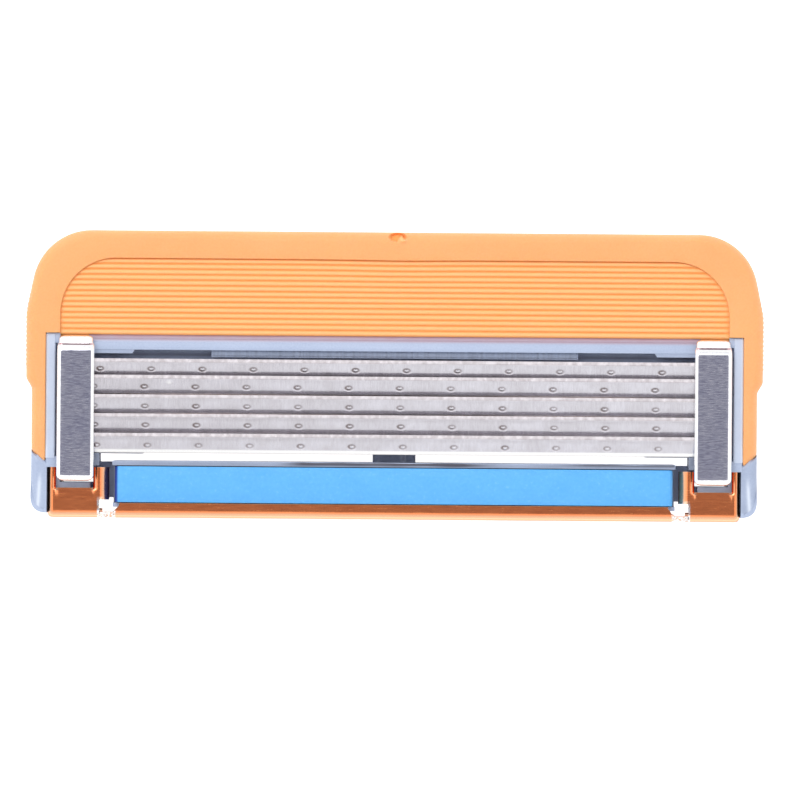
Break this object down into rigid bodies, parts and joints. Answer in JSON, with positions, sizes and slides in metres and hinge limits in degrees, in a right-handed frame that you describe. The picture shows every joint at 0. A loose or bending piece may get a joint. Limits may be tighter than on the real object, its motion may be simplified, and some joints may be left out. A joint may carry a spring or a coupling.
{
  "type": "razor blade cartridge",
  "caption": "Wet-razor blade cartridge: sprung blades under end clips, a finned rubber guard, a lubricating strip and a rear trimmer, on a pivoting handle socket.",
  "frame": {"origin": "on the resting face of the connecting member, under the centre of the bounding box", "axes": "+X along the blades, +Y towards the guard in front of the blades, +Z out of the shaving face"},
  "size_m": [0.041, 0.016, 0.0107],
  "materials": {
    "housing_plastic": "satin moulded plastic, blue grey",
    "guard_rubber": "soft orange elastomer, satin",
    "blade_steel": "ground stainless steel with a polished bevel",
    "support_steel": "rolled stainless steel",
    "clip_aluminium": "brushed along X with bright edges",
    "lubricant": "dry waxy blue lubricating strip",
    "trimmer_copper": "copper-coloured satin metallic coating on sheet steel",
    "member_plastic": "satin moulded plastic, dark blue grey"
  },
  "bodies": {
    "connecting_member": {"connecting_member": "member_plastic"},
    "blade_unit": {"housing": "housing_plastic", "guard_elastomer": "guard_rubber", "lubricating_strip": "lubricant", "trimmer_carrier": "trimmer_copper", "trimmer_blade": "blade_steel", "clip_left": "clip_aluminium", "clip_right": "clip_aluminium", "spring_finger_1_left": "housing_plastic", "spring_finger_1_right": "housing_plastic", "spring_finger_2_left": "housing_plastic", "spring_finger_2_right": "housing_plastic", "spring_finger_3_left": "housing_plastic", "spring_finger_3_right": "housing_plastic", "spring_finger_4_left": "housing_plastic", "spring_finger_4_right": "housing_plastic", "spring_finger_5_left": "housing_plastic", "spring_finger_5_right": "housing_plastic"},
    "blade_1": {"blade_1_strip": "blade_steel", "blade_1_support": "support_steel"},
    "blade_2": {"blade_2_strip": "blade_steel", "blade_2_support": "support_steel"},
    "blade_3": {"blade_3_strip": "blade_steel", "blade_3_support": "support_steel"},
    "blade_4": {"blade_4_strip": "blade_steel", "blade_4_support": "support_steel"},
    "blade_5": {"blade_5_strip": "blade_steel", "blade_5_support": "support_steel"}
  },
  "joints": [
    {"name": "head_pivot", "type": "hinge", "parent": "connecting_member", "child": "blade_unit", "pos_m": [0, 0.0039, 0.0069], "axis": [-1, 0, 0], "range_deg": [0, 45]},
    {"name": "blade_1_float", "type": "slide", "parent": "blade_unit", "child": "blade_1", "axis": [0, 0, -1], "range_m": [0, 0.0003], "stiffness_N_per_m": 200, "deforming": ["spring_finger_1_left", "spring_finger_1_right"]},
    {"name": "blade_2_float", "type": "slide", "parent": "blade_unit", "child": "blade_2", "axis": [0, 0, -1], "range_m": [0, 0.0003], "stiffness_N_per_m": 200, "deforming": ["spring_finger_2_left", "spring_finger_2_right"]},
    {"name": "blade_3_float", "type": "slide", "parent": "blade_unit", "child": "blade_3", "axis": [0, 0, -1], "range_m": [0, 0.0003], "stiffness_N_per_m": 200, "deforming": ["spring_finger_3_left", "spring_finger_3_right"]},
    {"name": "blade_4_float", "type": "slide", "parent": "blade_unit", "child": "blade_4", "axis": [0, 0, -1], "range_m": [0, 0.0003], "stiffness_N_per_m": 200, "deforming": ["spring_finger_4_left", "spring_finger_4_right"]},
    {"name": "blade_5_float", "type": "slide", "parent": "blade_unit", "child": "blade_5", "axis": [0, 0, -1], "range_m": [0, 0.0003], "stiffness_N_per_m": 200, "deforming": ["spring_finger_5_left", "spring_finger_5_right"]}
  ]
}
